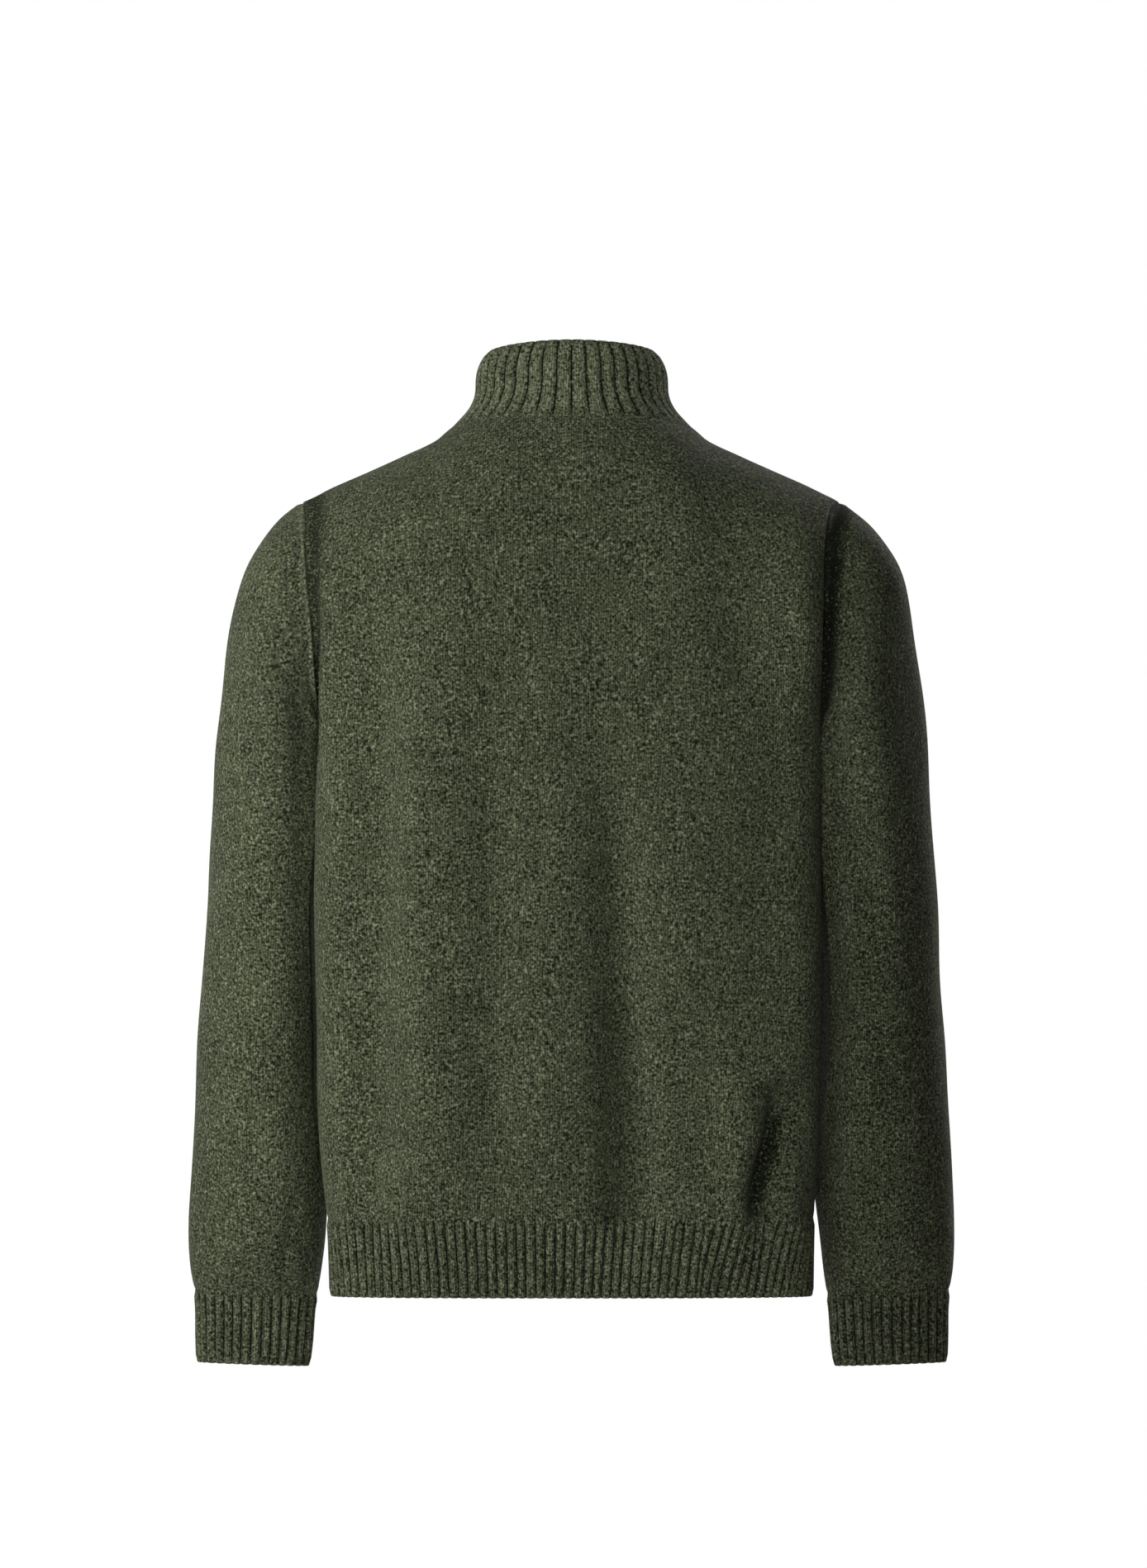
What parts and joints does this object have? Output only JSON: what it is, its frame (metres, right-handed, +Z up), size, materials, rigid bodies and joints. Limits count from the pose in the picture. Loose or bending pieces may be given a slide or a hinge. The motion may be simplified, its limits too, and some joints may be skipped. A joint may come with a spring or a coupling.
{
  "type": "cardigan",
  "caption": "Knitted cardigan with a ribbed stand collar, hem and cuffs and a full-length front zip, held open and hollow as if worn.",
  "frame": {"origin": "midway between the two neck ends of the shoulder seams, where the wearer's neck and shoulders hold the garment up", "axes": "+Z up, +Y towards the wearer's back, +X towards the wearer's left"},
  "size_m": [0.5844, 0.216, 0.7831],
  "materials": {
    "knit": "dark olive green and black marled wool knit, matt and slightly fuzzy",
    "zip_tape": "dark olive woven tape",
    "zip_metal": "dark antiqued metal, satin"
  },
  "bodies": {
    "root": {"back": "knit", "front_left": "knit", "front_right": "knit", "sleeve_left": "knit", "sleeve_right": "knit", "cuff_left": "knit", "cuff_right": "knit", "hem_rib_back": "knit", "hem_rib_front_left": "knit", "hem_rib_front_right": "knit", "collar": "knit", "zip_tape_left": "zip_tape", "zip_tape_right": "zip_tape", "zip_chain": "zip_metal", "zip_bottom_box": "zip_metal", "zip_slider": "zip_metal"},
    "pull_tab": {"zip_pull_tab": "zip_metal"}
  },
  "joints": [
    {"name": "pull_tab_hinge", "type": "hinge", "parent": "root", "child": "pull_tab", "pos_m": [0, -0.0653, 0.02544], "axis": [-1, 0, 0], "range_deg": [0, 165]}
  ]
}
